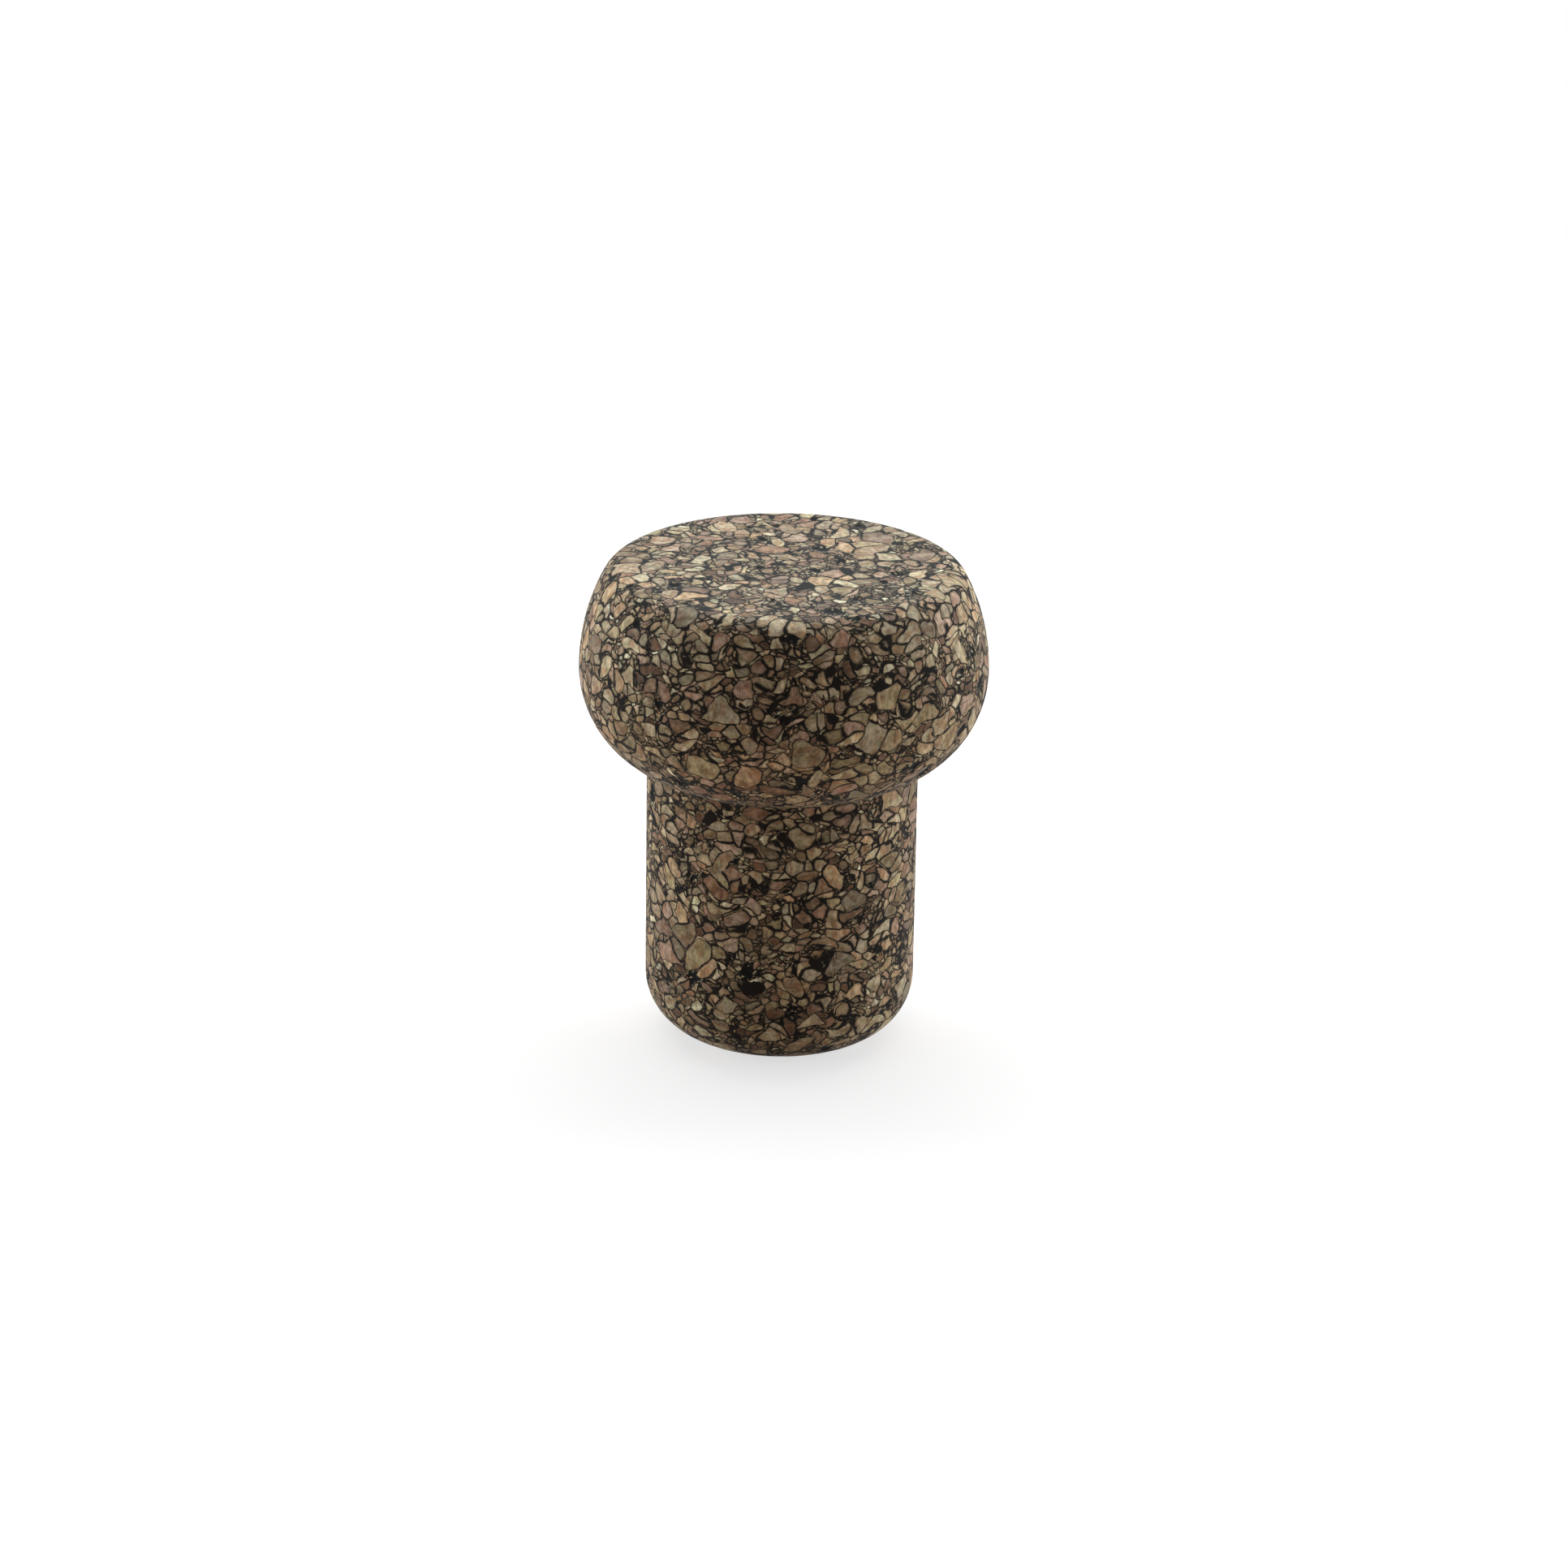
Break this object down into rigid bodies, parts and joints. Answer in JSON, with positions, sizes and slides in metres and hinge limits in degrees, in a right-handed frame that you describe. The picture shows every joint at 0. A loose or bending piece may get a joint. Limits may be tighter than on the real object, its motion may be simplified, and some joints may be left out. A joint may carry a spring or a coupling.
{
  "type": "cork stopper",
  "caption": "Mushroom-headed stopper of bonded cork granules: straight round shank with a rounded foot, and a wider rounded head with a flat top.",
  "frame": {"origin": "centre of the flat foot of the shank, on the axis", "axes": "+Z along the axis from the foot up to the head; X and Y are free, because the body is round"},
  "size_m": [0.045, 0.045, 0.0542],
  "materials": {
    "cork": "fine-sanded bonded cork: tan, olive and red-brown granules in a near-black binder, satin and dry"
  },
  "bodies": {
    "root": {"stopper": "cork"}
  },
  "joints": []
}
